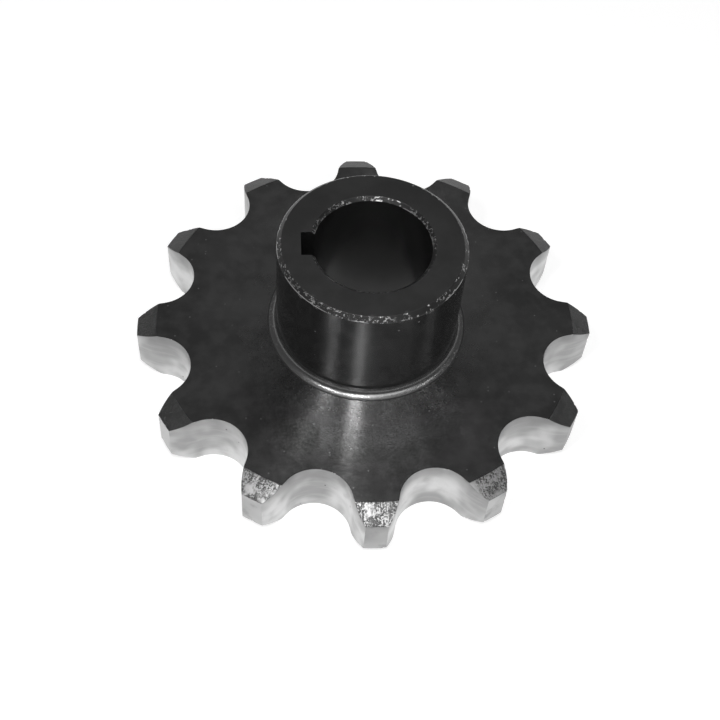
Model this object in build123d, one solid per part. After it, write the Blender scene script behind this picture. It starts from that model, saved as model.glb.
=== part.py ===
from build123d import *
import math
import os

# Roller chain sprocket with a hub on one side: a blank turned from one piece of steel,
# with tooth gaps cut into its rim and a keyway broached through its bore.
# The bore runs along Z. The flat back of the toothed plate lies on Z = 0, the hub points up,
# and the origin is on the bore's axis. Lengths are in millimetres, angles in degrees.

# Chain that the teeth take
tooth_count = 12
chain_pitch = 25.4
roller_diameter = 15.88

# Tooth form
seat_clearance = 0.02          # between a roller and its seat, on the radius
seat_half_angle = 65.0         # sweep of the roller seat, to each side of the gap's centre line
flank_radius = 15.0            # convex flank, from the end of the seat to the tip
tip_diameter = 104.0
tip_chamfer_width = 4.54       # along the radius, on both faces of the plate
tip_chamfer_depth = 2.55       # along the axis

# Plate and hub
plate_thickness = 14.6
hub_diameter = 41.0
hub_height = 26.6              # above the plate
hub_foot_fillet = 2.0
hub_rim_chamfer = 1.0

# Bore and keyway
bore_diameter = 25.4
bore_chamfer = 0.8
keyway_width = 6.35
keyway_floor = 15.3            # from the bore's axis to the keyway's flat floor
keyway_angle = 180.0           # the keyway lines up with the middle of a tooth

tip_radius = tip_diameter / 2
hub_radius = hub_diameter / 2
bore_radius = bore_diameter / 2
overall_length = plate_thickness + hub_height
tooth_angle = 360 / tooth_count
pitch_radius = chain_pitch / 2 / math.sin(math.radians(tooth_angle / 2))
seat_radius = roller_diameter / 2 + seat_clearance


def turned_blank():
    """Plate, hub and bore in one turned profile, before the teeth are cut."""
    rim_radius = tip_radius - tip_chamfer_width
    mouth_radius = bore_radius + bore_chamfer
    outline = [
        (mouth_radius, 0),
        (rim_radius, 0),
        (tip_radius, tip_chamfer_depth),
        (tip_radius, plate_thickness - tip_chamfer_depth),
        (rim_radius, plate_thickness),
        (hub_radius, plate_thickness),
        (hub_radius, overall_length - hub_rim_chamfer),
        (hub_radius - hub_rim_chamfer, overall_length),
        (mouth_radius, overall_length),
        (bore_radius, overall_length - bore_chamfer),
        (bore_radius, bore_chamfer),
    ]
    with BuildPart() as blank:
        with BuildSketch(Plane.XZ) as section:
            with BuildLine():
                Polyline(*outline, close=True)
            make_face()
            hub_foot = section.vertices().sort_by_distance((hub_radius, plate_thickness, 0))[0]
            fillet(hub_foot, hub_foot_fillet)
        revolve(axis=Axis.Z)
    return blank.part


def polar_point(centre, radius, angle):
    """A point at an angle from straight inwards, measured towards +X, about a centre."""
    turn = math.radians(angle)
    return (centre[0] + radius * math.sin(turn), centre[1] - radius * math.cos(turn))


def tooth_gap():
    """The space between two teeth, as a face whose centre line is +Y.

    The seat is an arc about a roller's centre on the pitch circle. The flanks are arcs
    tangent to it that curve the other way, and they run on past the tips.
    """
    roller_centre = (0, pitch_radius)
    seat_end = polar_point(roller_centre, seat_radius, seat_half_angle)
    flank_centre = polar_point(roller_centre, seat_radius + flank_radius, seat_half_angle)
    flank_reach = math.hypot(*flank_centre)
    outermost = 1 + flank_radius / flank_reach
    flank_end = (flank_centre[0] * outermost, flank_centre[1] * outermost)
    end_angle = 180 - math.degrees(math.atan2(flank_centre[0], flank_centre[1]))
    start_angle = seat_half_angle + 180
    flank_middle = polar_point(flank_centre, flank_radius, (start_angle + end_angle) / 2)
    past_tips = tip_radius + flank_radius

    def mirrored(point):
        return (-point[0], point[1])

    with BuildSketch() as gap:
        with BuildLine():
            ThreePointArc(mirrored(seat_end), (0, pitch_radius - seat_radius), seat_end)
            ThreePointArc(seat_end, flank_middle, flank_end)
            Polyline(
                flank_end,
                (flank_end[0], past_tips),
                (-flank_end[0], past_tips),
                mirrored(flank_end),
            )
            ThreePointArc(mirrored(flank_end), mirrored(flank_middle), mirrored(seat_end))
        make_face()
    return gap.sketch


def toothed_blank():
    """The blank with its tooth gaps cut, a tooth in line with the keyway."""
    gap_cutter = extrude(tooth_gap(), amount=plate_thickness)
    first_gap = keyway_angle - 90 + tooth_angle / 2
    blank = turned_blank()
    for index in range(tooth_count):
        blank -= Rot(0, 0, first_gap + index * tooth_angle) * gap_cutter
    return blank


def keyway_cutter():
    """A square slot from the bore's axis out to the keyway's floor, right through."""
    slot = Box(
        keyway_floor,
        keyway_width,
        overall_length,
        align=(Align.MIN, Align.CENTER, Align.MIN),
    )
    return Rot(0, 0, keyway_angle) * slot


sprocket = toothed_blank() - keyway_cutter()
sprocket.label = "sprocket"

os.makedirs("parts", exist_ok=True)
export_step(sprocket, "parts/sprocket.step")
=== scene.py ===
import math

import bmesh
import bpy
from bpy.props import FloatProperty, FloatVectorProperty, IntProperty, PointerProperty
from mathutils import Matrix, Vector, kdtree, noise


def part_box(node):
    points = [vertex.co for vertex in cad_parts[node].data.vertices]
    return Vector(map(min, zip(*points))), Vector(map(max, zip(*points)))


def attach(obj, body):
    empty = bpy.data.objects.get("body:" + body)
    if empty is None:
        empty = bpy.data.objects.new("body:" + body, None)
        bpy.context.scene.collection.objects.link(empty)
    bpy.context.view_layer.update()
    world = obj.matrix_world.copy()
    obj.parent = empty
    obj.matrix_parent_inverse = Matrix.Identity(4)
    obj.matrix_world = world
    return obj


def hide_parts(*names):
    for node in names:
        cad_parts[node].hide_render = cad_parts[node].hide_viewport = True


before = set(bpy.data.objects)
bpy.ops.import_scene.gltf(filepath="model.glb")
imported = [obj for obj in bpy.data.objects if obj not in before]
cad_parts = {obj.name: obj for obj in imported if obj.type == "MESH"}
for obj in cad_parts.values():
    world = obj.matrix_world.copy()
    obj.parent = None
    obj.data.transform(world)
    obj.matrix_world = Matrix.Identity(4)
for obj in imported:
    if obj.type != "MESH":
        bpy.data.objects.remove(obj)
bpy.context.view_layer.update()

bl_info = {
    "name": "Chain Sprocket",
    "version": (1, 0, 0),
    "blender": (4, 5, 0),
    "location": "View3D > Sidebar > Sprocket",
    "description": "Makes a hubbed roller chain sprocket with worn black steel, and a studio for it",
    "category": "Object",
}

LOWEST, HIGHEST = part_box("sprocket")

UP = Vector((0, 0, 1))
MM = 0.001

# Points nearer than the first are one point, and heights within the second are one height.
SAME_POINT = 1e-6
LEVEL = 1e-5

# Finishes, in the order of the piece's material slots.
(
    BLACK_PLATE, BLACK_HUB_FACE, BLACK_HUB_SIDE, HUB_FOOT, WORN_RIM,
    CUT_WALL, TIP_LAND, TOOTH_CHAMFER, BORE,
) = range(9)

# Indices of refraction of the black oxide, from where it shines most to where it shines least.
GLOSSY_OXIDE, DULL_OXIDE, MATT_OXIDE, ROUGH_OXIDE = 2.8, 1.75, 1.55, 1.4

# Name, azimuth and elevation in degrees, width and height in metres, and power of each lamp.
LAMPS = (
    ("key_lamp", -11, 63, (0.04, 0.36), 2.8),
    ("overhead_lamp", 0, 89, (0.5, 0.5), 0.5),
    ("left_lamp", -47, 57, (0.04, 0.2), 1.5),
    ("front_lamp", 26, 50, (0.6, 0.3), 1.3),
    ("right_lamp", 79, 55, (0.08, 0.3), 0.3),
)
LAMP_DISTANCE = 0.9


class SprocketShape(bpy.types.PropertyGroup):
    """Sizes of the sprocket, in metres."""

    tooth_count: IntProperty(
        name="Teeth", description="Number of teeth round the plate", default=12, min=8
    )
    chain_pitch: FloatProperty(
        name="Chain pitch", description="Distance between two rollers of the chain",
        default=25.4 * MM, unit="LENGTH",
    )
    seat_radius: FloatProperty(
        name="Seat radius", description="Radius of the seat that takes a roller",
        default=7.96 * MM, unit="LENGTH",
    )
    seat_half_angle: FloatProperty(
        name="Seat half angle", description="Sweep of the seat to each side of its gap's middle",
        default=math.radians(65), subtype="ANGLE",
    )
    flank_radius: FloatProperty(
        name="Flank radius", description="Radius of the convex flank between seat and tip",
        default=15 * MM, unit="LENGTH",
    )
    tip_radius: FloatProperty(
        name="Tip radius", description="Radius over the tooth tips",
        default=HIGHEST.x, unit="LENGTH",
    )
    tip_chamfer_width: FloatProperty(
        name="Tip chamfer width", description="Width of the teeth's chamfer, along the radius",
        default=4.54 * MM, unit="LENGTH",
    )
    tip_chamfer_depth: FloatProperty(
        name="Tip chamfer depth", description="Depth of the teeth's chamfer, along the axis",
        default=2.55 * MM, unit="LENGTH",
    )
    plate_thickness: FloatProperty(
        name="Plate thickness", description="Thickness of the toothed plate",
        default=14.6 * MM, unit="LENGTH",
    )
    overall_length: FloatProperty(
        name="Overall length", description="Length through the bore",
        default=HIGHEST.z - LOWEST.z, unit="LENGTH",
    )
    hub_radius: FloatProperty(
        name="Hub radius", description="Outer radius of the hub",
        default=20.5 * MM, unit="LENGTH",
    )
    hub_foot_fillet: FloatProperty(
        name="Foot fillet", description="Radius of the fillet between hub and plate",
        default=2 * MM, unit="LENGTH",
    )
    hub_rim_chamfer: FloatProperty(
        name="Rim chamfer", description="Width of the chamfer round the hub's face",
        default=1 * MM, unit="LENGTH",
    )
    bore_radius: FloatProperty(
        name="Bore radius", description="Radius of the bore that takes the shaft",
        default=12.7 * MM, unit="LENGTH",
    )
    bore_chamfer: FloatProperty(
        name="Bore chamfer", description="Width of the chamfer at both mouths of the bore",
        default=0.8 * MM, unit="LENGTH",
    )
    keyway_width: FloatProperty(
        name="Keyway width", description="Width of the keyway through the bore",
        default=6.35 * MM, unit="LENGTH",
    )
    keyway_floor: FloatProperty(
        name="Keyway floor", description="Distance from the bore's axis to the keyway's floor",
        default=15.3 * MM, unit="LENGTH",
    )
    edge_break: FloatProperty(
        name="Edge break", description="Width of the small round on every sharp edge",
        default=0.12 * MM, unit="LENGTH", precision=5,
    )
    chip_depth: FloatProperty(
        name="Chip depth", description="Depth of the deepest nicks in the hub's rim",
        default=0.16 * MM, unit="LENGTH", precision=5,
    )


class SprocketFinish(bpy.types.PropertyGroup):
    """Colours of the sprocket's surfaces."""

    black_colour: FloatVectorProperty(
        name="Black oxide", description="Colour of the blackened turned faces",
        default=(0.009, 0.009, 0.009), subtype="COLOR", min=0, max=1,
    )
    plate_shine: FloatVectorProperty(
        name="Plate shine", description="Colour that the plate reflects where it is rubbed",
        default=(0.25, 0.25, 0.25), subtype="COLOR", min=0, max=1,
    )
    hub_colour: FloatVectorProperty(
        name="Black hub side", description="Colour of the hub's smoother, darker side",
        default=(0.016, 0.016, 0.016), subtype="COLOR", min=0, max=1,
    )
    bare_colour: FloatVectorProperty(
        name="Bare steel", description="Colour of the steel where teeth were cut",
        default=(0.46, 0.46, 0.46), subtype="COLOR", min=0, max=1,
    )
    land_colour: FloatVectorProperty(
        name="Tip lands", description="Colour of the flat tooth tips",
        default=(0.36, 0.36, 0.36), subtype="COLOR", min=0, max=1,
    )
    bore_colour: FloatVectorProperty(
        name="Bore", description="Colour of the bore's wall and the keyway",
        default=(0.008, 0.008, 0.008), subtype="COLOR", min=0, max=1,
    )


class SprocketStudio(bpy.types.PropertyGroup):
    """Camera, lamps and floor round the sprocket."""

    lens: FloatProperty(
        name="Lens", description="Focal length on a sensor 36 mm wide", default=64.31,
        subtype="DISTANCE_CAMERA",
    )
    aim: FloatVectorProperty(
        name="Aim", description="Point that the camera looks at",
        default=(-1.935 * MM, -11.435 * MM, 14.6 * MM), subtype="TRANSLATION",
    )
    distance: FloatProperty(
        name="Distance", description="From the camera to its aim", default=287.0 * MM,
        unit="LENGTH",
    )
    azimuth: FloatProperty(
        name="Azimuth", description="Direction of the camera, 0 looks along +Y",
        default=math.radians(-6.874), subtype="ANGLE",
    )
    elevation: FloatProperty(
        name="Elevation", description="Height of the camera above the horizon",
        default=math.radians(54.575), subtype="ANGLE",
    )
    roll: FloatProperty(
        name="Roll", description="Turn of the camera about its own view",
        default=math.radians(5.274), subtype="ANGLE",
    )
    floor_colour: FloatVectorProperty(
        name="Floor", description="Colour of the floor", default=(0.6, 0.6, 0.6),
        subtype="COLOR", min=0, max=1,
    )
    floor_glow: FloatProperty(
        name="Floor glow", description="What makes the floor white where it is seen",
        default=0.6, min=0,
    )
    ceiling: FloatProperty(
        name="Ceiling", description="Brightness of the room overhead", default=0.16, min=0
    )
    lamp_level: FloatProperty(
        name="Lamp level", description="Brightness of all lamps together", default=1.0,
        min=0,
    )


def arc_from(bm, start, centre, turn, steps, axis=UP):
    """Runs a chain of edges from a vertex round a centre, and returns its last vertex."""
    made = bmesh.ops.spin(bm, geom=[start], cent=centre, axis=axis, angle=turn, steps=steps)
    return next(item for item in made["geom_last"] if isinstance(item, bmesh.types.BMVert))


def point_at(radius, angle):
    """A point at a radius and an angle round the Z axis."""
    return Vector((radius * math.cos(angle), radius * math.sin(angle), 0))


def boundary_at(bm, height):
    """The open edges that lie level at a height."""
    return [
        edge for edge in bm.edges
        if edge.is_boundary and all(abs(vert.co.z - height) < LEVEL for vert in edge.verts)
    ]


def close_at(bm, height):
    """Fills the flat face between the outer and inner loops that are open at a height."""
    bmesh.ops.triangle_fill(
        bm, use_beauty=True, use_dissolve=True, edges=boundary_at(bm, height), normal=UP
    )


def tooth_outline(bm, shape):
    """One tooth's edge in plan, mirrored about +X, from gap middle to gap middle.

    The seat is an arc about a roller's centre, and the flank curves the other way. Points
    are (radius, angle) here, so that rows across the tooth are straight while it is made.
    """
    seat_steps, root_steps, tip_steps = 14, 4, 20
    half_tooth = math.pi / shape.tooth_count
    pitch_radius = shape.chain_pitch / 2 / math.sin(half_tooth)
    roller = point_at(pitch_radius, half_tooth)
    inwards = half_tooth + math.pi
    flank = roller + point_at(shape.seat_radius + shape.flank_radius, inwards + shape.seat_half_angle)

    def flank_angle(radius):
        """Angle at the flank's centre between the axis and the flank's point at a radius."""
        reach = flank.length
        return math.acos(
            (reach**2 + shape.flank_radius**2 - radius**2) / (2 * reach * shape.flank_radius)
        )

    seat_middle = bm.verts.new(roller + point_at(shape.seat_radius, inwards))
    seat_end = arc_from(bm, seat_middle, roller, shape.seat_half_angle, seat_steps)
    seat_turn = flank_angle(seat_end.co.length)
    rim_turn = flank_angle(shape.tip_radius - shape.tip_chamfer_width)
    tip_turn = flank_angle(shape.tip_radius)
    rim_end = arc_from(bm, seat_end, flank, seat_turn - rim_turn, root_steps)
    arc_from(bm, rim_end, flank, rim_turn - tip_turn, tip_steps)
    for vert in bm.verts:
        vert.co = Vector((vert.co.length, math.atan2(vert.co.y, vert.co.x), 0))
    bmesh.ops.mirror(bm, geom=bm.verts[:] + bm.edges[:], merge_dist=0, axis="Y")


def tooth_sector(shape):
    """The upper half of one tooth with its flanks, open at the plate's face and its middle."""
    columns, wall_rows = 32, 9
    rim_radius = shape.tip_radius - shape.tip_chamfer_width
    middle = shape.plate_thickness / 2
    bm = bmesh.new()
    tooth_outline(bm, shape)
    flanks = [
        edge for edge in bm.edges
        if all(vert.co.x > rim_radius - SAME_POINT for vert in edge.verts)
    ]
    bmesh.ops.bridge_loops(bm, edges=flanks)
    across = [edge for edge in bm.edges if edge.verts[0].co.y * edge.verts[1].co.y < 0]
    bmesh.ops.subdivide_edges(bm, edges=across, cuts=columns - 1, use_grid_fill=True)
    for vert in bm.verts:
        radius, angle = vert.co.xy
        slope = max(radius - rim_radius, 0) / shape.tip_chamfer_width
        vert.co = point_at(radius, angle)
        vert.co.z = shape.plate_thickness - slope * shape.tip_chamfer_depth
    outline = [
        edge for edge in bm.edges
        if len(edge.link_faces) < 2
        and not (edge.link_faces and all(abs(v.co.xy.length - rim_radius) < LEVEL for v in edge.verts))
    ]
    for row in range(wall_rows):
        made = bmesh.ops.extrude_edge_only(bm, edges=outline)["geom"]
        outline = [item for item in made if isinstance(item, bmesh.types.BMEdge)]
        for vert in (item for item in made if isinstance(item, bmesh.types.BMVert)):
            vert.co.z += (middle - vert.co.z) / (wall_rows - row)
    return bm


def chain_of(bm, start, stretches):
    """Runs on from a vertex to each (radius, height), in the given number of rows."""
    for radius, height, rows in stretches:
        begin = start.co.copy()
        end = Vector((radius, 0, height))
        for row in range(rows):
            vert = bm.verts.new(begin.lerp(end, (row + 1) / rows))
            bm.edges.new((start, vert))
            start = vert


def turned(bm, shape, steps):
    """Turns the profile that stands in a new mesh through one tooth's share of the circle."""
    share = 2 * math.pi / shape.tooth_count
    profile = bm.verts[:] + bm.edges[:]
    bmesh.ops.rotate(bm, verts=bm.verts, matrix=Matrix.Rotation(-share / 2, 3, "Z"))
    bmesh.ops.spin(bm, geom=profile, axis=UP, angle=share, steps=steps)
    return bm


def hub_sector(shape):
    """The hub's fillet, side, chamfer and the outer band of its face."""
    fillet_steps = 10
    band = 0.75 * MM
    top = shape.overall_length
    bm = bmesh.new()
    foot = bm.verts.new((shape.hub_radius + shape.hub_foot_fillet, 0, shape.plate_thickness))
    middle = foot.co + Vector((0, 0, shape.hub_foot_fillet))
    side = arc_from(bm, foot, middle, math.pi / 2, fillet_steps, axis=Vector((0, 1, 0)))
    rim = shape.hub_radius - shape.hub_rim_chamfer
    chain_of(bm, side, [
        (shape.hub_radius, top - shape.hub_rim_chamfer - 2 * band, 3),
        (shape.hub_radius, top - shape.hub_rim_chamfer, 9),
        (rim, top, 8),
        (rim - band, top, 5),
    ])
    return turned(bm, shape, steps=60)


def bore_sector(shape):
    """The bore's wall with the chamfers at its two mouths."""
    chamfer_rows = 5
    top = shape.overall_length
    mouth = shape.bore_radius + shape.bore_chamfer
    bm = bmesh.new()
    chain_of(bm, bm.verts.new((mouth, 0, top)), [
        (shape.bore_radius, top - shape.bore_chamfer, chamfer_rows),
        (shape.bore_radius, shape.bore_chamfer, 12),
        (mouth, 0, chamfer_rows),
    ])
    return turned(bm, shape, steps=24)


def take_in(bm, other):
    """Adds another mesh's geometry to this one."""
    mesh = bpy.data.meshes.new("part_made")
    other.to_mesh(mesh)
    other.free()
    bm.from_mesh(mesh)
    bpy.data.meshes.remove(mesh)


def sprocket_skin(shape):
    """Teeth, hub and bore all round, with the flat faces and the keyway still open."""
    bm = tooth_sector(shape)
    middle = Matrix.Translation((0, 0, -shape.plate_thickness / 2))
    bmesh.ops.mirror(
        bm, geom=bm.verts[:] + bm.edges[:] + bm.faces[:], matrix=middle,
        merge_dist=SAME_POINT, axis="Z",
    )
    take_in(bm, hub_sector(shape))
    take_in(bm, bore_sector(shape))
    pitch_angle = 2 * math.pi / shape.tooth_count
    bmesh.ops.spin(
        bm, geom=bm.verts[:] + bm.edges[:] + bm.faces[:], axis=UP, use_duplicate=True,
        angle=2 * math.pi - pitch_angle, steps=shape.tooth_count - 1,
    )
    bmesh.ops.remove_doubles(bm, verts=bm.verts, dist=SAME_POINT)
    return bm


def cut_keyway(bm, shape):
    """Opens the bore's skin at -X and walls the keyway behind it."""
    mouth = shape.bore_radius + shape.bore_chamfer

    def near_keyway(item):
        """Whether the item is on the bore's skin, on the keyway's side."""
        return all(v.co.xy.length < mouth + LEVEL and v.co.x < 0 for v in item.verts)

    for side in (1, -1):
        parts = set()
        for face in filter(near_keyway, bm.faces):
            parts.update((face, *face.edges, *face.verts))
        bmesh.ops.bisect_plane(
            bm, geom=list(parts), plane_no=(0, side, 0),
            plane_co=(0, side * shape.keyway_width / 2, 0), dist=SAME_POINT,
        )
    slot = [
        face for face in bm.faces
        if near_keyway(face) and abs(face.calc_center_median().y) < shape.keyway_width / 2
    ]
    bmesh.ops.delete(bm, geom=slot, context="FACES")
    walls = [
        edge for edge in bm.edges
        if edge.is_boundary and near_keyway(edge)
        and all(abs(abs(v.co.y) - shape.keyway_width / 2) < LEVEL for v in edge.verts)
    ]
    made = bmesh.ops.extrude_edge_only(bm, edges=walls)["geom"]
    for vert in (item for item in made if isinstance(item, bmesh.types.BMVert)):
        vert.co.x = -shape.keyway_floor
    corners = [item for item in made if isinstance(item, bmesh.types.BMEdge)]
    bmesh.ops.bridge_loops(bm, edges=corners)


def finish_of(face, shape):
    """The material slot of a face, from where it is and which way it faces."""
    flat, sloping = 0.99, 0.3
    centre = face.calc_center_median()
    radius = centre.xy.length
    facing = face.normal
    rim_radius = shape.tip_radius - shape.tip_chamfer_width
    if abs(facing.z) > flat:
        return BLACK_HUB_FACE if centre.z > shape.plate_thickness + LEVEL else BLACK_PLATE
    if radius < shape.keyway_floor + LEVEL:
        return WORN_RIM if abs(facing.z) > sloping else BORE
    if centre.z > shape.overall_length - shape.hub_rim_chamfer:
        return WORN_RIM
    if radius < shape.hub_radius + shape.hub_foot_fillet:
        above_foot = centre.z > shape.plate_thickness + shape.hub_foot_fillet
        return BLACK_HUB_SIDE if above_foot else HUB_FOOT
    if abs(facing.z) > sloping and radius > rim_radius:
        return TOOTH_CHAMFER
    outwards = Vector((centre.x, centre.y, 0)).normalized()
    return TIP_LAND if radius > rim_radius and facing.dot(outwards) > flat else CUT_WALL


def smooth_step(low, high, value):
    """0 below low, 1 above high, and an even curve between them."""
    share = min(max((value - low) / (high - low), 0), 1)
    return share * share * (3 - 2 * share)


def nick_edges(bm, edge_points, shape):
    """Knocks small chips out of the edges round the hub's face and at the tooth tips.

    Chips are marked as bare, and so are the stretches where an edge is rubbed.
    """
    reach = 0.55 * MM
    long_wave, middle_wave, short_wave = 7 * MM, 1.7 * MM, 0.45 * MM
    elsewhere = Vector((7, 3, 5))
    widest_face = 0.5 * MM * MM
    bare = bm.verts.layers.float.new("bare")
    tree = kdtree.KDTree(len(edge_points))
    for index, point in enumerate(edge_points):
        tree.insert(point, index)
    tree.balance()
    moves = []
    for vert in bm.verts:
        gap = tree.find(vert.co)[2]
        if gap > reach or any(face.calc_area() > widest_face for face in vert.link_faces):
            continue
        near = 1 - gap / reach
        coarse = noise.noise(vert.co / middle_wave)
        fine = noise.noise(vert.co / short_wave + elsewhere)
        chip = near * smooth_step(0.18, 0.5, coarse * 0.6 + fine * 0.5)
        rubbed = smooth_step(-0.05, 0.25, noise.noise(vert.co / long_wave))
        on_edge = smooth_step(0.7, 0.95, near)
        outer_edge = vert.co.z < shape.overall_length - shape.hub_rim_chamfer / 2
        vert[bare] = max(chip, rubbed * on_edge * outer_edge)
        moves.append((vert, vert.normal * -chip * shape.chip_depth))
    for vert, move in moves:
        vert.co += move


def sprocket_mesh(shape):
    """The whole sprocket as one closed mesh, in the frame's place."""
    sharp_angle = math.radians(35)
    bm = sprocket_skin(shape)
    cut_keyway(bm, shape)
    for height in (shape.plate_thickness, shape.overall_length, 0):
        close_at(bm, height)
    bmesh.ops.remove_doubles(bm, verts=bm.verts, dist=SAME_POINT)
    bmesh.ops.recalc_face_normals(bm, faces=bm.faces)
    bm.normal_update()
    for face in bm.faces:
        face.material_index = finish_of(face, shape)
        face.smooth = True
    sharp = [
        edge for edge in bm.edges if edge.is_manifold and edge.calc_face_angle() > sharp_angle
    ]
    knocked = [
        vert.co.copy() for vert in {v for edge in sharp for v in edge.verts}
        if vert.co.z > shape.overall_length - 2 * shape.hub_rim_chamfer
        or vert.co.xy.length > shape.tip_radius - shape.tip_chamfer_width
    ]
    bmesh.ops.bevel(
        bm, geom=sharp, offset=shape.edge_break, offset_type="OFFSET", affect="EDGES",
        segments=2, profile=0.5, material=-1, clamp_overlap=True,
    )
    bm.normal_update()
    nick_edges(bm, knocked, shape)
    if not all(edge.is_manifold for edge in bm.edges):
        raise RuntimeError("the sprocket's mesh isn't closed")
    mesh = bpy.data.meshes.new("turned_steel")
    bm.to_mesh(mesh)
    bm.free()
    return mesh


class Finish:
    """A material under construction, with short calls for the nodes that finishes share."""

    def __init__(self, name):
        self.material = bpy.data.materials.new(name)
        self.material.use_nodes = True
        self.tree = self.material.node_tree
        self.tree.nodes.clear()
        self.place = self.add("ShaderNodeTexCoord").outputs["Object"]
        x, y, self.height = self.add("ShaderNodeSeparateXYZ", Vector=self.place).outputs
        flat = self.vector(x, y, 0.0)
        self.radius = self.add("ShaderNodeVectorMath", operation="LENGTH", Vector=flat).outputs["Value"]
        self.outwards = self.add("ShaderNodeVectorMath", operation="NORMALIZE", Vector=flat).outputs[0]
        # How far the outward direction points along X, and along Y.
        self.across, self.along, _ = self.add("ShaderNodeSeparateXYZ", Vector=self.outwards).outputs

    def add(self, kind, operation=None, **inputs):
        """A node, with its inputs set or linked by name, where _ stands for a space."""
        node = self.tree.nodes.new(kind)
        if operation:
            node.operation = operation
        for name, value in inputs.items():
            self.feed(node.inputs[name.replace("_", " ")], value)
        return node

    def feed(self, socket, value):
        """Links an output to the socket, or sets the socket to a plain value."""
        if isinstance(value, bpy.types.NodeSocket):
            self.tree.links.new(value, socket)
        else:
            socket.default_value = value

    def vector(self, x, y, z):
        """A vector from three values."""
        return self.add("ShaderNodeCombineXYZ", X=x, Y=y, Z=z).outputs[0]

    def maths(self, operation, first, second=0.0):
        """One step of arithmetic."""
        node = self.add("ShaderNodeMath", operation=operation)
        self.feed(node.inputs[0], first)
        self.feed(node.inputs[1], second)
        return node.outputs[0]

    def times(self, first, second):
        """The product of two values."""
        return self.maths("MULTIPLY", first, second)

    def plus(self, first, second):
        """The sum of two values."""
        return self.maths("ADD", first, second)

    def fade(self, share, first, second):
        """A value that goes evenly from the first to the second."""
        return self.plus(self.times(share, second - first), first)

    def stretched(self, scale):
        """Object coordinates, scaled by a different amount along each axis."""
        node = self.add("ShaderNodeVectorMath", operation="MULTIPLY")
        self.feed(node.inputs[0], self.place)
        self.feed(node.inputs[1], scale)
        return node.outputs[0]

    def grooved(self, around, out, outward=None):
        """Coordinates for turning marks: so many steps a radian round the axis, and out a metre."""
        distance = self.radius if outward is None else outward
        return self.vector(
            self.times(self.across, around), self.times(self.along, around), self.times(distance, out)
        )

    def grain(self, vector, scale, detail=3.0, roughness=0.55):
        """Soft noise from 0 to 1, mostly near one half."""
        node = self.add("ShaderNodeTexNoise", Vector=vector, Scale=scale, Detail=detail)
        node.inputs["Roughness"].default_value = roughness
        return node.outputs["Fac"]

    def between(self, value, low, high, to_low=0.0, to_high=1.0):
        """Maps a value's range smoothly onto another, and holds it there outside."""
        node = self.add("ShaderNodeMapRange", Value=value)
        node.interpolation_type = "SMOOTHSTEP"
        node.inputs["From Min"].default_value = low
        node.inputs["From Max"].default_value = high
        node.inputs["To Min"].default_value = to_low
        node.inputs["To Max"].default_value = to_high
        return node.outputs["Result"]

    def blend(self, share, first, second):
        """A colour between two."""
        node = self.add("ShaderNodeMix")
        node.data_type = "RGBA"
        self.feed(node.inputs["Factor"], share)
        self.feed(node.inputs[6], first)
        self.feed(node.inputs[7], second)
        return node.outputs[2]

    def specks(self, scale, size, share):
        """Small scattered dots: 1 inside a dot, 0 elsewhere."""
        cells = self.add("ShaderNodeTexVoronoi", Vector=self.place, Scale=scale)
        dot = self.between(cells.outputs["Distance"], size * 0.5, size, 1.0, 0.0)
        chosen = self.add("ShaderNodeSeparateColor", Color=cells.outputs["Color"]).outputs[0]
        return self.times(dot, self.maths("LESS_THAN", chosen, share))

    def grooves(self, profile, slope):
        """A normal that leans in and out across turned grooves, as far as the slope."""
        lean = self.times(self.maths("SUBTRACT", profile, 0.5), self.times(slope, 2.0))
        sideways = self.add("ShaderNodeVectorMath", operation="SCALE", Vector=self.outwards, Scale=lean)
        tilted = self.add("ShaderNodeVectorMath", operation="ADD", Vector=sideways.outputs[0])
        self.feed(tilted.inputs[1], self.add("ShaderNodeNewGeometry").outputs["Normal"])
        unit = self.add("ShaderNodeVectorMath", operation="NORMALIZE", Vector=tilted.outputs[0])
        return unit.outputs[0]

    def bump(self, height, depth):
        """A normal from a height map that is so many metres deep."""
        return self.add("ShaderNodeBump", Height=height, Distance=depth).outputs[0]

    def surface(self, **inputs):
        """Joins the main shader to the material's output, and returns the material."""
        shader = self.add("ShaderNodeBsdfPrincipled", **inputs)
        output = self.add("ShaderNodeOutputMaterial")
        self.tree.links.new(shader.outputs[0], output.inputs["Surface"])
        return self.material


def rgba(colour, level=1.0):
    """A colour property as a socket's value, made lighter or darker."""
    return (*(channel * level for channel in colour), 1.0)


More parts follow.
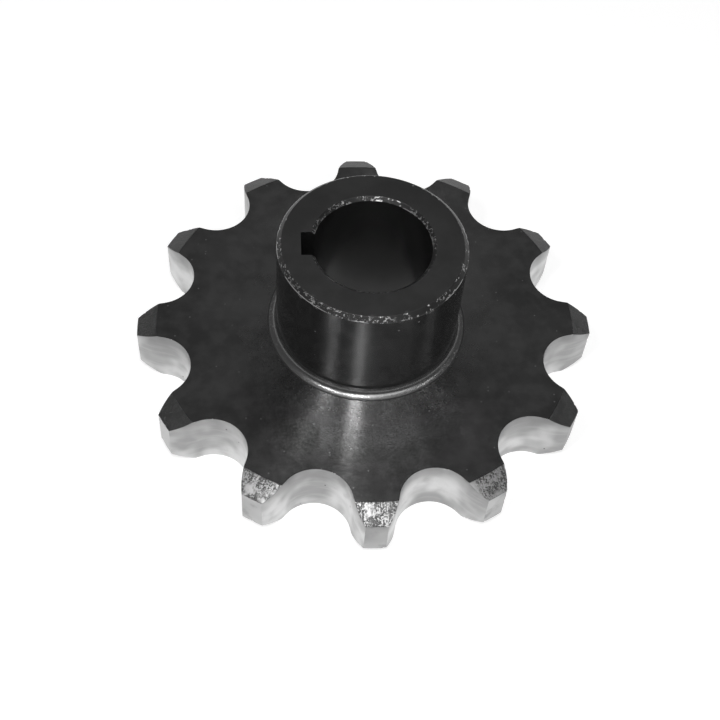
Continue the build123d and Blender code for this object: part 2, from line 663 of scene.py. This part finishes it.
def black_plate(polished, shape):
    """Black oxide on the plate's turned faces, rubbed to a shine near the hub.

    A streak of light lies across its grooves, and widens and fades outwards.
    """
    finish = Finish("black_plate")
    outer = shape.tip_radius - shape.tip_chamfer_width
    far = finish.between(finish.radius, shape.hub_radius + shape.hub_foot_fillet, outer)
    clouds = finish.between(finish.grain(finish.place, 60.0, 4.0), 0.35, 0.65)
    mottle = finish.between(finish.grain(finish.place, 300.0, 4.0), 0.35, 0.7)
    dashes = finish.between(finish.grain(finish.grooved(25.0, 900.0), 1.0, 3.0, 0.6), 0.4, 0.65)
    fine_marks = finish.grain(finish.grooved(90.0, 28000.0), 1.0, 0.0)
    coarse_marks = finish.grain(finish.grooved(40.0, 2600.0), 1.0, 2.0)
    marks = finish.blend(0.28, fine_marks, coarse_marks)
    tone = finish.blend(far, rgba(polished), rgba(polished, 0.7))
    tone = finish.blend(finish.times(clouds, 0.4), tone, rgba(polished, 0.3))
    tone = finish.blend(finish.times(mottle, 0.4), tone, rgba(polished, 1.25))
    tone = finish.blend(finish.specks(620.0, 0.15, 0.25), tone, rgba(polished, 1.8))
    wear = finish.plus(finish.times(clouds, 0.02), finish.times(dashes, 0.03))
    return finish.surface(
        Base_Color=tone, Metallic=1.0, Anisotropic=1.0, Tangent=finish.outwards,
        Roughness=finish.plus(finish.fade(far, 0.24, 0.16), wear),
        Normal=finish.grooves(marks, finish.fade(far, 0.8, 0.05)),
    )


def black_face(colour):
    """Black oxide on the hub's face, duller than the plate and without its streak."""
    finish = Finish("black_face")
    mottle = finish.between(finish.grain(finish.place, 200.0, 4.0), 0.35, 0.7)
    tone = finish.blend(mottle, rgba(colour, 0.35), rgba(colour, 1.25))
    tone = finish.blend(finish.specks(420.0, 0.13, 0.16), tone, rgba(colour, 18.0))
    height = finish.grain(finish.place, 1700.0)
    return finish.surface(
        Base_Color=tone, IOR=DULL_OXIDE, Roughness=0.5, Normal=finish.bump(height, 0.01 * MM)
    )


def black_side(colour):
    """Black oxide on the hub's side: upright bands of light, with a few pits."""
    finish = Finish("black_side")
    marks = finish.grain(finish.grooved(14.0, 2600.0, finish.height), 1.0, 2.0)
    mottle = finish.between(finish.grain(finish.place, 420.0, 4.0, 0.65), 0.4, 0.7)
    tone = finish.blend(mottle, rgba(colour, 0.85), rgba(colour, 1.4))
    tone = finish.blend(finish.specks(480.0, 0.13, 0.16), tone, rgba(colour, 12.0))
    fine = finish.times(finish.grain(finish.place, 1900.0), 0.5)
    height = finish.plus(finish.times(marks, 0.6), fine)
    return finish.surface(
        Base_Color=tone, IOR=MATT_OXIDE, Anisotropic=1.0, Tangent=(0.0, 0.0, 1.0),
        Roughness=finish.between(mottle, 0.0, 1.0, 0.13, 0.15),
        Normal=finish.bump(height, 0.004 * MM),
    )


def polished_foot(colour, bare_colour, plate_thickness):
    """The fillet at the hub's foot: glossy, with bare flecks where it runs out on the plate."""
    finish = Finish("hub_foot")
    flecks = finish.between(finish.grain(finish.place, 1900.0, 4.0, 0.7), 0.55, 0.62)
    patches = finish.between(finish.grain(finish.place, 170.0, 2.0), 0.45, 0.6)
    above_plate = finish.maths("SUBTRACT", finish.height, plate_thickness)
    low = finish.between(above_plate, 0.1 * MM, 0.7 * MM, 1.0, 0.0)
    bare = finish.times(finish.times(flecks, patches), low)
    tone = finish.blend(bare, rgba(colour), rgba(bare_colour))
    height = finish.grain(finish.place, 1500.0)
    return finish.surface(
        Base_Color=tone, Metallic=bare, IOR=GLOSSY_OXIDE, Roughness=0.27,
        Normal=finish.bump(height, 0.02 * MM),
    )


def worn_rim(colour, bare_colour):
    """Blackened chamfer, chipped to bright metal at its nicks, with bare flecks that are thickest
    towards the front left.
    """
    finish = Finish("worn_rim")
    chips = finish.add("ShaderNodeAttribute")
    chips.attribute_name = "bare"
    flecks = finish.grain(finish.grooved(30.0, 2600.0, finish.height), 1.0, 4.0, 0.7)
    # 1 on the side that is 30 degrees to the left of the front, and less all round from there.
    front_left = finish.plus(finish.times(finish.across, -0.5), finish.times(finish.along, -0.87))
    # More bare flecks towards the front left.
    front_left_boost = finish.between(front_left, 0.3, 0.9, 0.0, 0.13)
    patches = finish.between(finish.plus(finish.grain(finish.place, 200.0, 2.0), front_left_boost), 0.5, 0.6)
    flecked = finish.times(finish.between(flecks, 0.54, 0.62), patches)
    chipped = finish.between(chips.outputs["Fac"], 0.08, 0.3)
    bare = finish.maths("MAXIMUM", chipped, flecked)
    tone = finish.blend(bare, rgba(colour, 1.5), rgba(bare_colour))
    height = finish.grain(finish.place, 2200.0, 4.0, 0.6)
    return finish.surface(
        Base_Color=tone, Metallic=bare, IOR=ROUGH_OXIDE, Roughness=0.4,
        Normal=finish.bump(height, 0.05 * MM),
    )


def cut_steel(colour, top):
    """Bare steel in the gaps: darkened up to the plate's face by painted shade, with soft bands, stains
    and pits.
    """
    finish = Finish("cut_wall")
    bands = finish.grain(finish.stretched((1.0, 1.0, 0.05)), 700.0)
    sweeps = finish.grain(finish.stretched((0.12, 0.12, 1.0)), 900.0)
    broad = finish.between(finish.grain(finish.place, 95.0, 2.0), 0.38, 0.62)
    stain = finish.between(finish.grain(finish.place, 260.0, 4.0), 0.45, 0.75)
    uneven = finish.times(finish.grain(finish.place, 130.0, 2.0), 6 * MM)
    # Painted shade: the walls are made darker towards the plate's face, where they would reflect less
    # light.
    painted_shade_near_face = finish.between(finish.plus(finish.height, uneven), 0.75 * top, 1.25 * top, 0.0, 0.8)
    swept = finish.between(sweeps, 0.45, 0.7)
    tone = finish.blend(broad, rgba(colour, 0.68), rgba(colour, 1.28))
    tone = finish.blend(finish.times(swept, 0.2), tone, rgba(colour, 1.4))
    tone = finish.blend(finish.times(stain, 0.3), tone, rgba(colour, 0.7))
    tone = finish.blend(painted_shade_near_face, tone, rgba(colour, 0.45))
    tone = finish.blend(finish.specks(380.0, 0.1, 0.1), tone, rgba(colour, 0.15))
    return finish.surface(
        Base_Color=tone, Metallic=1.0, Roughness=finish.between(stain, 0.0, 1.0, 0.32, 0.42),
        Normal=finish.bump(bands, 0.012 * MM),
    )


def land_steel(colour):
    """Bare turned steel on the flat tooth tips, duller than the flanks."""
    finish = Finish("tip_land")
    lines = finish.grain(finish.stretched((0.06, 0.06, 1.0)), 2400.0)
    broad = finish.between(finish.grain(finish.stretched((1.0, -1.0, 1.0)), 60.0, 2.0), 0.38, 0.62)
    patches = finish.grain(finish.place, 300.0)
    tone = finish.blend(broad, rgba(colour, 0.85), rgba(colour, 1.35))
    tone = finish.blend(finish.between(patches, 0.5, 0.8), tone, rgba(colour, 0.8))
    return finish.surface(
        Base_Color=tone, Metallic=1.0, Roughness=0.45, Normal=finish.bump(lines, 0.01 * MM)
    )


def pitted_chamfer(black, bare):
    """The teeth's chamfer: bare and light with clusters of pits on the front three, a painted highlight
    where those chamfers face the key lamp; black on the others.
    """
    finish = Finish("tooth_chamfer")
    fine = finish.grain(finish.place, 2500.0, 3.0, 0.7)
    rays = finish.grain(finish.grooved(110.0, 500.0), 1.0, 2.0)
    clusters = finish.between(finish.grain(finish.place, 350.0, 3.0, 0.6), 0.34, 0.54)
    pits = finish.between(finish.plus(finish.times(fine, 0.6), finish.times(rays, 0.4)), 0.46, 0.53)
    # Painted highlight: only the three teeth at the front, which face the key lamp, are made bare and
    # light.
    front = finish.between(finish.along, -0.97, -0.55, 1.0, 0.0)
    shine = finish.maths("SUBTRACT", 1.0, finish.times(clusters, pits))
    bare_and_painted_highlight = finish.times(front, finish.times(shine, 0.95))
    tone = finish.blend(bare_and_painted_highlight, rgba(black, 1.1), rgba(bare, 0.9))
    return finish.surface(
        Base_Color=tone, Metallic=bare_and_painted_highlight, IOR=DULL_OXIDE, Roughness=0.42,
        Normal=finish.bump(shine, 0.04 * MM),
    )


def bore_oxide(colour):
    """Black oxide on the bore's smooth wall and in the keyway."""
    finish = Finish("bore_wall")
    lines = finish.grain(finish.grooved(3.0, 2500.0, finish.height), 1.0)
    patches = finish.grain(finish.place, 90.0, 2.0)
    tone = finish.blend(finish.between(patches, 0.3, 0.7), rgba(colour, 0.85), rgba(colour, 1.1))
    return finish.surface(
        Base_Color=tone, IOR=GLOSSY_OXIDE, Roughness=0.24, Normal=finish.bump(lines, 0.004 * MM)
    )


class SPROCKET_OT_make_sprocket(bpy.types.Operator):
    """Make the sprocket's piece with its worn finishes"""

    bl_idname = "sprocket.make_sprocket"
    bl_label = "Make Sprocket"

    def execute(self, context):
        shape = context.scene.sprocket_shape
        colours = context.scene.sprocket_finish
        mesh = sprocket_mesh(shape)
        finishes = {
            BLACK_PLATE: black_plate(colours.plate_shine, shape),
            BLACK_HUB_FACE: black_face(colours.black_colour),
            BLACK_HUB_SIDE: black_side(colours.hub_colour),
            HUB_FOOT: polished_foot(
                colours.black_colour, colours.bare_colour, shape.plate_thickness
            ),
            WORN_RIM: worn_rim(colours.black_colour, colours.bare_colour),
            CUT_WALL: cut_steel(colours.bare_colour, shape.plate_thickness),
            TIP_LAND: land_steel(colours.land_colour),
            TOOTH_CHAMFER: pitted_chamfer(colours.black_colour, colours.bare_colour),
            BORE: bore_oxide(colours.bore_colour),
        }
        for slot in sorted(finishes):
            mesh.materials.append(finishes[slot])
        piece = bpy.data.objects.new("sprocket_body", mesh)
        context.scene.collection.objects.link(piece)
        fairing = piece.modifiers.new("even_shading", "WEIGHTED_NORMAL")
        fairing.weight = 80
        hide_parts("sprocket")
        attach(piece, "root")
        return {"FINISHED"}


def direction(azimuth, elevation):
    """The way out from the sprocket: azimuth 0 is the front, and a right angle is +X."""
    level = math.cos(elevation)
    return Vector((math.sin(azimuth) * level, -math.cos(azimuth) * level, math.sin(elevation)))


def place_camera(context, studio):
    """The camera at the photograph's angle, distance and roll."""
    back = direction(studio.azimuth, studio.elevation)
    data = bpy.data.cameras.new("studio_camera")
    data.lens = studio.lens
    data.clip_start = 0.01
    data.clip_end = 20.0
    camera = bpy.data.objects.new("studio_camera", data)
    camera.location = Vector(studio.aim) + back * studio.distance
    look = (-back).to_track_quat("-Z", "Y").to_matrix().to_4x4()
    turned = look @ Matrix.Rotation(studio.roll, 4, "Z")
    camera.rotation_euler = turned.to_euler()
    context.scene.collection.objects.link(camera)
    context.scene.camera = camera


def place_lamp(context, name, azimuth, elevation, size, power):
    """A soft rectangular lamp that faces the sprocket."""
    away = direction(math.radians(azimuth), math.radians(elevation))
    data = bpy.data.lights.new(name, "AREA")
    data.shape = "RECTANGLE"
    data.size, data.size_y = size
    data.energy = power
    lamp = bpy.data.objects.new(name, data)
    lamp.location = away * LAMP_DISTANCE
    lamp.rotation_euler = (-away).to_track_quat("-Z", "Y").to_euler()
    context.scene.collection.objects.link(lamp)


def floor_material(colour, glow, shape):
    """Pale floor: its colour takes the shadow, and a glow that only shows makes it white.

    The glow is fuller far out, where the lamps don't reach. It stops inside the bore and the
    keyway, where little light reaches the floor.
    """
    near, distant = 0.3, 1.2
    mouth = shape.bore_radius + shape.bore_chamfer
    finish = Finish("studio_floor")
    rays = finish.add("ShaderNodeLightPath").outputs
    seen = finish.maths("MAXIMUM", rays["Is Camera Ray"], rays["Is Glossy Ray"])
    seen = finish.maths("MAXIMUM", seen, rays["Is Transmission Ray"])
    in_bore = finish.maths("LESS_THAN", finish.radius, mouth)
    off_middle = finish.maths("ABSOLUTE", finish.times(finish.along, finish.radius))
    in_width = finish.maths("LESS_THAN", off_middle, shape.keyway_width / 2)
    in_depth = finish.maths("LESS_THAN", finish.radius, shape.keyway_floor)
    keyway_side = finish.maths("LESS_THAN", finish.across, 0.0)
    in_keyway = finish.times(finish.times(in_width, in_depth), keyway_side)
    open_floor = finish.maths("SUBTRACT", 1.0, finish.maths("MAXIMUM", in_bore, in_keyway))
    level = finish.between(finish.radius, near, distant, glow, 1.0)
    strength = finish.times(finish.times(seen, open_floor), level)
    shine = finish.add("ShaderNodeEmission", Color=(1.0, 1.0, 1.0, 1.0), Strength=strength)
    paint = finish.add("ShaderNodeBsdfDiffuse", Color=rgba(colour))
    both = finish.add("ShaderNodeAddShader")
    finish.feed(both.inputs[0], shine.outputs[0])
    finish.feed(both.inputs[1], paint.outputs[0])
    output = finish.add("ShaderNodeOutputMaterial")
    finish.feed(output.inputs["Surface"], both.outputs[0])
    return finish.material


def place_floor(context, studio, shape):
    """A wide flat floor that the sprocket stands on."""
    bm = bmesh.new()
    bmesh.ops.create_circle(bm, cap_ends=True, segments=64, radius=6.0)
    mesh = bpy.data.meshes.new("studio_floor")
    bm.to_mesh(mesh)
    bm.free()
    mesh.materials.append(floor_material(studio.floor_colour, studio.floor_glow, shape))
    floor = bpy.data.objects.new("studio_floor", mesh)
    floor.location.z = LOWEST.z
    context.scene.collection.objects.link(floor)


def set_world(context, ceiling):
    """White at the horizon and grey overhead, lighter to the rear, for every ray alike."""
    white_up_to, grey_from = math.radians(1), math.radians(9)
    front_share, turn = 0.5, 0.5
    world = bpy.data.worlds.new("studio_world")
    context.scene.world = world
    world.use_nodes = True
    tree = world.node_tree
    tree.nodes.clear()

    def ramp(value, low, high, to_low):
        """A node that maps the range from low to high, and gives to_low at its start."""
        node = tree.nodes.new("ShaderNodeMapRange")
        node.inputs["From Min"].default_value = low
        node.inputs["From Max"].default_value = high
        node.inputs["To Min"].default_value = to_low
        tree.links.new(value, node.inputs["Value"])
        return node

    place = tree.nodes.new("ShaderNodeTexCoord")
    split = tree.nodes.new("ShaderNodeSeparateXYZ")
    tree.links.new(place.outputs["Generated"], split.inputs[0])
    overhead = ramp(split.outputs["Y"], -turn, turn, front_share * ceiling)
    overhead.inputs["To Max"].default_value = ceiling
    rise = ramp(split.outputs["Z"], math.sin(white_up_to), math.sin(grey_from), 1.0)
    tree.links.new(overhead.outputs["Result"], rise.inputs["To Max"])
    sky = tree.nodes.new("ShaderNodeBackground")
    tree.links.new(rise.outputs["Result"], sky.inputs["Color"])
    output = tree.nodes.new("ShaderNodeOutputWorld")
    tree.links.new(sky.outputs[0], output.inputs["Surface"])


class SPROCKET_OT_set_studio(bpy.types.Operator):
    """Set up the floor, the lamps, the world and the camera"""

    bl_idname = "sprocket.set_studio"
    bl_label = "Set Studio"

    def execute(self, context):
        studio = context.scene.sprocket_studio
        place_floor(context, studio, context.scene.sprocket_shape)
        set_world(context, studio.ceiling)
        for name, azimuth, elevation, size, power in LAMPS:
            place_lamp(context, name, azimuth, elevation, size, power * studio.lamp_level)
        place_camera(context, studio)
        context.scene.view_settings.view_transform = "Standard"
        return {"FINISHED"}


class SPROCKET_PT_panel(bpy.types.Panel):
    """Sizes, finishes and steps of the sprocket"""

    bl_idname = "SPROCKET_PT_panel"
    bl_label = "Chain Sprocket"
    bl_space_type = "VIEW_3D"
    bl_region_type = "UI"
    bl_category = "Sprocket"

    def draw(self, context):
        scene = context.scene
        for settings in (scene.sprocket_shape, scene.sprocket_finish, scene.sprocket_studio):
            box = self.layout.box()
            for name in settings.__annotations__:
                box.prop(settings, name)
        for operator in (SPROCKET_OT_make_sprocket, SPROCKET_OT_set_studio):
            self.layout.operator(operator.bl_idname)


CLASSES = (
    SprocketShape,
    SprocketFinish,
    SprocketStudio,
    SPROCKET_OT_make_sprocket,
    SPROCKET_OT_set_studio,
    SPROCKET_PT_panel,
)


def register():
    """Adds the classes, and gives every scene its three groups of settings."""
    for each in CLASSES:
        bpy.utils.register_class(each)
    bpy.types.Scene.sprocket_shape = PointerProperty(type=SprocketShape)
    bpy.types.Scene.sprocket_finish = PointerProperty(type=SprocketFinish)
    bpy.types.Scene.sprocket_studio = PointerProperty(type=SprocketStudio)


def unregister():
    """Takes the settings and the classes away again."""
    del bpy.types.Scene.sprocket_studio
    del bpy.types.Scene.sprocket_finish
    del bpy.types.Scene.sprocket_shape
    for each in reversed(CLASSES):
        bpy.utils.unregister_class(each)


def main():
    """Registers the add-on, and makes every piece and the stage."""
    register()
    bpy.ops.sprocket.make_sprocket()
    bpy.ops.sprocket.set_studio()


if __name__ == "__main__":
    main()
